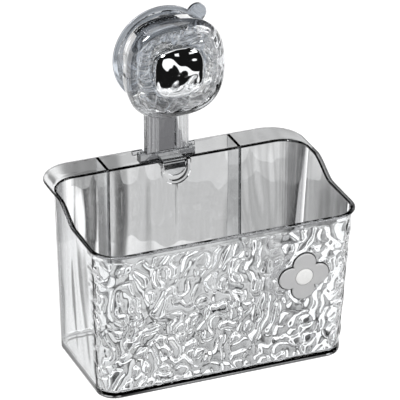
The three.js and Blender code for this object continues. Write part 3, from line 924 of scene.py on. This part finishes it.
def knobCover():
    sizes = knobSizes
    low, high = nodeBox("knob_cover")
    half, back, face = high.x, -high.y, -low.y
    backHalf, faceHalf = sizes["backHalf"], sizes["faceHalf"]
    wall, edge = sizes["wall"], sizes["edge"]
    inside = face - wall - sizes["seat"]
    widest = face - sizes["round"]
    widestInside = widest - 2 * wall
    bulge = half - faceHalf
    rows = []        # half width, distance out, exponent, panel reach, panel strength

    def add(rowHalf, out, exponent=sizes["exponent"], reach=0, strength=0):
        rows.append((rowHalf, out, exponent, reach, strength))

    add(faceHalf - wall - sizes["innerLap"], inside)
    for i in range(sizes["roundRows"] + 1):
        turn = quarter * (1 - i / sizes["roundRows"])
        out = widestInside + (inside - widestInside) * math.sin(turn)
        add(faceHalf - wall + bulge * math.cos(turn), out)
    add(backHalf - wall, back + edge)
    add(backHalf - wall + edge, back)
    add(backHalf - edge, back)
    for i in range(sizes["skirtRows"]):
        add(*between((backHalf, back + edge), (half, widest), i / sizes["skirtRows"]))
    for i in range(sizes["roundRows"] + 1):
        turn = quarter * i / sizes["roundRows"]
        reach = faceHalf + sizes["round"] * (quarter - turn)
        add(faceHalf + bulge * math.cos(turn), widest + sizes["round"] * math.sin(turn), reach=reach)
    seatHalf = nodeBox("mirror_cap")[1].x + sizes["capGrow"] + sizes["seatGap"]
    for i in range(1, sizes["faceRows"] + 1):
        start, end = (faceHalf, sizes["exponent"]), (seatHalf, sizes["capExponent"])
        rowHalf, exponent = between(start, end, i / sizes["faceRows"])
        strength = smoothStep(0, sizes["seatFade"], rowHalf - seatHalf)
        strength *= smoothStep(0, sizes["edgeFade"], faceHalf - rowHalf)
        add(rowHalf, face, exponent, rowHalf, strength)
    add(seatHalf, face - sizes["seat"], sizes["capExponent"])

    loops = [squareLoop(rowHalf, out, exponent) for rowHalf, out, exponent, _, _ in rows]
    places = []
    for (rowHalf, _, _, reach, strength), loop in zip(rows, loops):
        places += [(x / rowHalf * reach, z / rowHalf * reach, strength) for x, _, z in loop]
    cover = loft("knobCover", loops)
    press(cover, places, knobCells, clearKnob)

    bore, hubBack = sizes["hubBore"], sizes["hubBack"]
    hubRadius = bore + sizes["hubWall"]
    hubFront = inside + wall / 2
    profile = [(bore, hubBack), (hubRadius, hubBack), (hubRadius, hubFront), (bore, hubFront)]
    hub = turned("hub", profile, sizes["hubSteps"], isRing=True)
    for side in (-1, 1):
        bottom, top = sorted((side * sizes["keyInner"], side * sizes["keyOuter"]))
        low = (-sizes["keyWidth"] / 2, -sizes["keyFront"], bottom)
        high = (sizes["keyWidth"] / 2, 0, top)
        combine(hub, roundedBox("keyway", low, high, sizes["keyEdge"]), "DIFFERENCE")
    combine(cover, hub, "UNION")
    return cover


def mirrorCap():
    sizes = knobSizes
    low, high = nodeBox("mirror_cap")
    half, back, top = high.x + sizes["capGrow"], -high.y, -low.y
    edge = -nodeBox("knob_cover")[0].y + sizes["capEdge"]
    exponent, rows = sizes["capExponent"], sizes["crownRows"]
    loops = [squareLoop(half - sizes["capRound"], back, exponent),
             squareLoop(half, back + sizes["capRound"], exponent)]
    places = [(0, 0, 0)] * (2 * sizes["steps"])
    for i in range(rows):
        turn = quarter * i / rows
        loop = squareLoop(half * math.cos(turn), edge + (top - edge) * math.sin(turn), exponent)
        strength = smoothStep(0, sizes["crownFade"], i / rows)
        places += [(x, z, strength) for x, _, z in loop]
        loops.append(loop)
    cap = loft("mirrorCap", loops)
    press(cap, places, capCells, mirrorPlate)
    return cap


# Painted shade makes the round edge of the knob look grey
def knobShade(face):
    sizes = knobSizes
    around = Vector((face.center.x, 0, face.center.z)).normalized()
    return sizes["shade"] * smoothStep(sizes["shadeStart"], sizes["shadeFull"], around.dot(face.normal))


cover = knobCover()
smoothShading(cover, knobSizes["sharpAngle"])
shadeFaces(cover, knobShade)
standsFor(cover, "knob_cover", "knob", clearKnob)
cap = mirrorCap()
smoothShading(cap, knobSizes["sharpAngle"])
standsFor(cap, "mirror_cap", "knob", mirrorPlate)


# Suction pad

padSizes = {
    "radius": 39.2, "lipWidth": 9, "lipThickness": 1.6, "cavity": 5, "bossRadius": 11, "shoulder": 8,
    "studRoom": 3.8, "headRoom": 7.3, "headBack": 7.7, "headFront": 10.5,
    "steps": 192, "rows": 12, "axisRadius": 0.01, "edge": 0.5, "sharpAngle": 40,
    "tabWidth": 14.6, "tabReach": 8.8, "tabAngle": 47, "tabThickness": 2.2,
    "tabOverlap": 4, "tabSteps": 24,
    "ridges": 3, "ridgeHeight": 0.7, "ridgeWidth": 1.3, "ridgePitch": 3, "ridgeEdge": 0.3,
}


def suctionPad():
    sizes = padSizes
    front = -nodeBox("suction_pad")[0].y
    radius, edge, boss = sizes["radius"], sizes["edge"], sizes["bossRadius"]
    lipInner = radius - sizes["lipWidth"]
    lipTop = sizes["lipThickness"]
    shares = [i / sizes["rows"] for i in range(1, sizes["rows"] + 1)]
    profile = [(sizes["axisRadius"], sizes["cavity"])]
    profile += [(lipInner * share, sizes["cavity"] * (1 - share ** 2)) for share in shares]
    profile += [(radius - edge, 0), (radius, edge), (radius, lipTop - edge), (radius - edge, lipTop)]
    profile += [between((radius - edge, lipTop), (boss, sizes["shoulder"]), share) for share in shares]
    profile += [(boss, front - edge), (boss - edge, front),
                (sizes["studRoom"], front), (sizes["studRoom"], sizes["headFront"]),
                (sizes["headRoom"], sizes["headFront"]), (sizes["headRoom"], sizes["headBack"]),
                (sizes["axisRadius"], sizes["headBack"])]
    pad = turned("suctionPad", profile, sizes["steps"])
    combine(pad, padTab(), "UNION")
    return pad


def padTab():
    sizes = padSizes
    half, thickness = sizes["tabWidth"] / 2, sizes["tabThickness"]
    root = sizes["radius"] - sizes["tabOverlap"]
    tip = sizes["radius"] + sizes["tabReach"]
    end = tip - half
    outline = [(root, -half)]
    for i in range(sizes["tabSteps"] + 1):
        turn = quarter * (2 * i / sizes["tabSteps"] - 1)
        outline.append((end + half * math.cos(turn), half * math.sin(turn)))
    outline.append((root, half))
    tab = prism("tab", outline, -thickness, 0)
    for i in range(sizes["ridges"]):
        x = tip - sizes["ridgePitch"] * (i + 1)
        reach = math.sqrt(half ** 2 - max(x - end, 0) ** 2) - sizes["ridgeWidth"]
        low = (x - sizes["ridgeWidth"] / 2, -thickness - sizes["ridgeHeight"], -reach)
        high = (x + sizes["ridgeWidth"] / 2, -thickness / 2, reach)
        combine(tab, roundedBox("ridge", low, high, sizes["ridgeEdge"]), "UNION")
    turn = math.radians(sizes["tabAngle"])
    for vertex in tab.data.vertices:
        x, y, z = vertex.co
        vertex.co = (x * math.cos(turn) - z * math.sin(turn), y, x * math.sin(turn) + z * math.cos(turn))
    return tab


# The pad is baked in place and attached to no body
pad = suctionPad()
smoothShading(pad, padSizes["sharpAngle"])
setMaterial(pad, softVinyl)
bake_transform(pad)
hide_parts("suction_pad")
print(pad.name, "made with", len(pad.data.polygons), "faces")


# Bracket and the works inside the knob

armSizes = {
    "half": 16.8, "recessHalf": 6.8, "front": 12, "ribs": 3, "fluteRadius": 1.9, "fluteDepth": 0.6,
    "fluteSteps": 12, "cutterRise": 0.3, "top": -37.5, "bottom": -75.5, "facing": 0.9,
}


# Rounded flutes down the front of the two columns
def fluteColumns(bracket):
    sizes = armSizes
    pitch = (sizes["half"] - sizes["recessHalf"]) / sizes["ribs"]
    radius, steps = sizes["fluteRadius"], sizes["fluteSteps"]
    middle = -sizes["front"] - radius + sizes["fluteDepth"]
    start = math.asin(1 - (sizes["fluteDepth"] + sizes["cutterRise"]) / radius)
    turns = [start + (math.pi - 2 * start) * i / steps for i in range(steps + 1)]
    for side in (-1, 1):
        x = side * (sizes["recessHalf"] + sizes["half"]) / 2
        loops = [[(x + radius * math.cos(turn), middle + radius * math.sin(turn), z) for turn in turns]
                 for z in (sizes["bottom"], sizes["top"])]
        flutes = loft("flutes", loops)
        runTree(flutes, evenRow, {"Count": sizes["ribs"], "Pitch": pitch * mm}, clearBracket)
        combine(bracket, flutes, "DIFFERENCE")


# Painted shade makes the web between the columns darker than the rest
def inPaintedRecessShade(face):
    sizes = armSizes
    place = face.center / mm
    isFacing = abs(face.normal.y) > sizes["facing"]
    return isFacing and abs(place.x) < sizes["recessHalf"] and sizes["bottom"] < place.z < sizes["top"]


# Name, edge, body, finish and material of each piece that is a refined copy of its node
refined = {
    "hanger_bracket": ("hangerBracket", 0.4, "bracket", "clear_plastic", clearBracket),
    "glide_washer": ("glideWasher", 0.15, "bracket", "slip_plastic", slipPlastic),
    "cam_bush": ("camBush", 0.2, "knob", "slip_plastic", slipPlastic),
    "pad_stud": ("padStud", 0.2, "stud", "steel", plainSteel),
    "cam_pin": ("camPin", 0.2, "stud", "steel", plainSteel),
}
for node, (name, edge, body, slot, material) in refined.items():
    piece = refinedCopy(name, node, edge)
    if node == "hanger_bracket":
        fluteColumns(piece)
        smoothShading(piece, meshTools["copySharp"])
        shadeFaces(piece, inPaintedRecessShade)
    standsFor(piece, node, body, material)


# Studio, in metres

studio = {
    "floorRadius": 2.2, "floorSteps": 96, "floorDrop": 0.55,
    "floorColor": 0.85, "floorRoughness": 0.9, "floorGlow": 0.55, "skyLight": 0.5, "bounces": 24,
    "keyPower": 20, "keySize": 0.55, "keyPlace": (-0.9, -1.2, 1.25),
    "fillPower": 9, "fillSize": 0.7, "fillPlace": (1.2, -0.9, 0.7),
    "ringCentre": -0.07, "cardStep": 4, "cardGap": 0.02, "coveRise": 0.01,
    "coveInner": 0.3, "coveOuter": 1.9, "coveTop": 0.25, "coveGlow": 1.8,
    "hoodTop": 2.2, "hoodRadius": 1.2, "hoodGlow": 0.008,
    "frontInner": 0.35, "frontTurn": 270, "frontWidth": 180,
    "backLow": -0.5, "backTurn": 67, "backWidth": 96, "windowReach": 1.1, "windowGlow": 1.1,
    "greyCount": 16, "greyTurn": 67, "greySpread": 0.3, "sideTilt": 0.12,
    "gapEdge": 0.05, "edgeWidth": 0.14, "dimGap": 1.2,
    "streaks": 22, "tallStreaks": 2, "streakDetail": 1.5, "streakRange": (0.3, 0.7),
}
# Grey rings with lit gaps between them: radius and height of both edges, how light they are, how much of
# that is left beside the gaps, and where the gaps start
greyRows = [
    ((0.01, -0.75), (0.64, -0.75), 0.75, 0.5, 0.29),
    ((0.78, -0.75), (0.83, -0.75), 0.2, 0.5, 0.29),
    ((0.83, -0.75), (1.2, -0.75), 0.82, 0.1, 0.28),
    ((1.2, -0.75), (1.355, -0.75), 0.55, 0.25, 0.29),
    ((1.355, -0.75), (1.41, -0.75), 0.66, 0.7, 0.31),
    ((1.41, -0.75), (1.62, -0.75), 0.82, 0.35, 0.3),
    ((1.62, -0.75), (1.66, -0.75), 0.2, 0.5, 0.32),
    ((1.79, -0.75), (1.88, -0.75), 0.65, 0.5, 0.29),
    ((1.88, -0.74), (1.88, -0.48), 0.56, 0.5, 0.29),
    ((1.88, -0.48), (1.88, -0.45), 0.2, 0.5, 0.29),
    ((1.88, -0.38), (1.88, -0.16), 0.5, 0.5, 0.29),
    ((1.88, -0.16), (1.88, 0.02), 0.15, 0.5, 0.29),
]
# Windows that only reflections show: azimuth and elevation along the lower and the upper edge
windows = [
    ([(258, -6), (272, -13), (288, -22), (304, -28), (322, -33)],
     [(260, 3), (274, -4), (289, -12), (305, -19), (323, -24)]),
    ([(294, 9), (308, 7)], [(295, 20), (309, 18)]),
    ([(332, -50), (346, -48)], [(334, -40), (347, -38)]),
]
cameraView = {
    "azimuth": -22.19, "elevation": 26.96, "distance": 2734, "sensorWidth": 36,
    "focalPixels": 3708.7, "framePixels": 400, "aim": (0.24, -75.2, -86.6),
}
white = (1, 1, 1, 1)


def seenDirectly(tree):
    path = newNode(tree, "ShaderNodeLightPath", {})
    some = mathNode(tree, "MAXIMUM", path["Is Camera Ray"], path["Is Glossy Ray"])
    return mathNode(tree, "MAXIMUM", some, path["Is Transmission Ray"])


def makeSky():
    world = bpy.data.worlds.new("sky")
    bpy.context.scene.world = world
    world.use_nodes = True
    tree = world.node_tree
    light = tree.nodes["Background"]
    setInputs(light, {"Color": white, "Strength": studio["skyLight"]})
    seen = newNode(tree, "ShaderNodeBackground", {"Color": white})[0]
    mixed = newNode(tree, "ShaderNodeMixShader", {0: seenDirectly(tree), 1: light.outputs[0], 2: seen})[0]
    tree.links.new(mixed, tree.nodes["World Output"].inputs["Surface"])


def makeFloor():
    radius = studio["floorRadius"] / mm
    z = foot - studio["floorDrop"] / mm
    points = [(radius * c, radius * s, z) for c, s in circle(studio["floorSteps"])]
    floor = newPiece("floor", points, [tuple(range(len(points)))])
    inputs = {"Roughness": studio["floorRoughness"], "Emission Color": white}
    material = newMaterial("paleFloor", (studio["floorColor"],) * 3, inputs)
    tree = material.node_tree
    glow = mathNode(tree, "MULTIPLY", seenDirectly(tree), studio["floorGlow"])
    tree.links.new(glow, shaderOf(material).inputs["Emission Strength"])
    floor.data.materials.append(material)


# A card that the camera and the lamps never meet
def hideCard(card, material, inPlastic, inReflections):
    card.data.materials.append(material)
    card.visible_camera = False
    card.visible_diffuse = False
    card.visible_shadow = False
    card.visible_transmission = inPlastic
    card.visible_glossy = inReflections


# A card bent round the object, over a row of [radius, height]
def addCard(name, rings, material, azimuth=180, width=360, inPlastic=True, inReflections=True):
    steps = round(width / studio["cardStep"])
    points = []
    for radius, z in rings:
        for i in range(steps + 1):
            turn = math.radians(azimuth + width * (i / steps - 0.5))
            y = radius * math.sin(turn) + studio["ringCentre"]
            points.append((radius * math.cos(turn) / mm, y / mm, z / mm))
    row = steps + 1
    faces = [(k * row + i, k * row + i + 1, (k + 1) * row + i + 1, (k + 1) * row + i)
             for k in range(len(rings) - 1) for i in range(steps)]
    hideCard(newPiece(name, points, faces), material, inPlastic, inReflections)


def addWindow(low, high, material):
    points = []
    for azimuth, elevation in low + high:
        turn, rise = math.radians(azimuth), math.radians(elevation)
        place = (math.cos(turn) * math.cos(rise), math.sin(turn) * math.cos(rise), math.sin(rise))
        points.append([value * studio["windowReach"] / mm for value in place])
    count = len(low)
    faces = [(i, i + 1, count + i + 1, count + i) for i in range(count - 1)]
    hideCard(newPiece("window", points, faces), material, inPlastic=False, inReflections=True)


def glowMaterial(name, strength):
    material = bpy.data.materials.new(name)
    material.use_nodes = True
    tree = material.node_tree
    tree.nodes.remove(shaderOf(material))
    glow = newNode(tree, "ShaderNodeEmission", {"Strength": strength})[0]
    tree.links.new(glow, tree.nodes["Material Output"].inputs["Surface"])
    return material


# Mottled grey in soft streaks that lead away from the object, with lit gaps at even turns
def greyMaterial(middle, edgeShare, gapStart):
    material = glowMaterial("mottledGrey", 1)
    tree = material.node_tree
    place = newNode(tree, "ShaderNodeTexCoord", {})["Object"]
    parts = newNode(tree, "ShaderNodeSeparateXYZ", {0: place})
    deep = mathNode(tree, "SUBTRACT", parts["Y"], studio["ringCentre"])
    turn = mathNode(tree, "ARCTAN2", deep, parts["X"])
    streaks = vectorOf(tree, mathNode(tree, "MULTIPLY", turn, studio["streaks"]),
                       mathNode(tree, "MULTIPLY", parts["Z"], studio["tallStreaks"]))
    inputs = {"Vector": streaks, "Scale": 1, "Detail": studio["streakDetail"]}
    noise = newNode(tree, "ShaderNodeTexNoise", inputs)[0]
    greys = (middle * (1 - studio["greySpread"]), middle * (1 + studio["greySpread"]))
    grey = mapNode(tree, noise, studio["streakRange"], greys)

    # 0 in the middle of each grey part and 0.5 in the middle of each gap
    share = mathNode(tree, "MULTIPLY", turn, studio["greyCount"] / (4 * quarter))
    share = mathNode(tree, "SUBTRACT", share, studio["greyTurn"] / 360 * studio["greyCount"])
    away = mathNode(tree, "PINGPONG", share, 0.5)
    aside = mathNode(tree, "WRAP", share, 0.5, -0.5)

    # The grey deepens towards the gaps and to one side, and every other gap is dimmer
    edge = mapNode(tree, away, (gapStart - studio["edgeWidth"], gapStart), (1, edgeShare), "SMOOTHSTEP")
    tilt = mathNode(tree, "SUBTRACT", 1, mathNode(tree, "MULTIPLY", aside, studio["sideTilt"] / gapStart))
    shaded = mathNode(tree, "MULTIPLY", mathNode(tree, "MULTIPLY", grey, edge), tilt)
    other = mathNode(tree, "PINGPONG", mathNode(tree, "SUBTRACT", share, 0.5), 1)
    lit = mapNode(tree, other, (0, 1), (studio["dimGap"], studio["coveGlow"]))
    gap = mapNode(tree, away, (gapStart, gapStart + studio["gapEdge"]), (shaded, lit), "SMOOTHSTEP")
    tree.links.new(gap, tree.nodes["Emission"].inputs["Strength"])
    return material


def makeCards():
    floor = foot * mm - studio["floorDrop"]
    outer, top, gap = studio["coveOuter"], studio["coveTop"], studio["cardGap"]
    dark = glowMaterial("darkHood", studio["hoodGlow"])
    lit = glowMaterial("litCove", studio["coveGlow"])
    window = glowMaterial("whiteWindow", studio["windowGlow"])
    low = floor + studio["coveRise"]
    addCard("cove", [(studio["coveInner"], low), (outer, low), (outer, top)], lit, inReflections=False)
    addCard("hood", [(outer, top), (studio["hoodRadius"], studio["hoodTop"])], dark)
    front = [(studio["frontInner"], floor + gap), (outer - gap, floor + gap), (outer - gap, top)]
    addCard("darkFront", front, dark, studio["frontTurn"], studio["frontWidth"], inPlastic=False)
    back = [(outer - 2 * gap, studio["backLow"]), (outer - 2 * gap, top)]
    addCard("litBack", back, lit, studio["backTurn"], studio["backWidth"], inPlastic=False)
    for inner, rim, *shades in greyRows:
        isLevel = inner[1] == rim[1]         # only the level rings show in reflections
        addCard("greyRing", (inner, rim), greyMaterial(*shades), inReflections=isLevel)
    for lower, upper in windows:
        addWindow(lower, upper, window)


# Places a lamp or the camera, looking along a direction
def addHolder(name, data, place, direction):
    holder = bpy.data.objects.new(name, data)
    holder.location = place
    holder.rotation_mode = "QUATERNION"
    holder.rotation_quaternion = direction.to_track_quat("-Z", "Y")
    bpy.context.scene.collection.objects.link(holder)
    return holder


def addLamp(name, place, size, power):
    lamp = bpy.data.lights.new(name, "AREA")
    lamp.shape = "SQUARE"
    lamp.size = size
    lamp.energy = power
    addHolder(name, lamp, place, Vector(cameraView["aim"]) * mm - Vector(place))


def makeCamera():
    lens = bpy.data.cameras.new("camera")
    lens.sensor_width = cameraView["sensorWidth"]
    lens.lens = cameraView["focalPixels"] / cameraView["framePixels"] * lens.sensor_width
    turn, rise = math.radians(cameraView["azimuth"]), math.radians(cameraView["elevation"])
    back = Vector((math.sin(turn) * math.cos(rise), -math.cos(turn) * math.cos(rise), math.sin(rise)))
    place = (Vector(cameraView["aim"]) + back * cameraView["distance"]) * mm
    bpy.context.scene.camera = addHolder("camera", lens, place, -back)


makeSky()
makeFloor()
makeCards()
addLamp("key", studio["keyPlace"], studio["keySize"], studio["keyPower"])
addLamp("fill", studio["fillPlace"], studio["fillSize"], studio["fillPower"])
makeCamera()
bpy.context.scene.view_settings.view_transform = "Standard"
bpy.context.scene.cycles.max_bounces = studio["bounces"]
bpy.context.scene.cycles.transmission_bounces = studio["bounces"]
print("studio built")
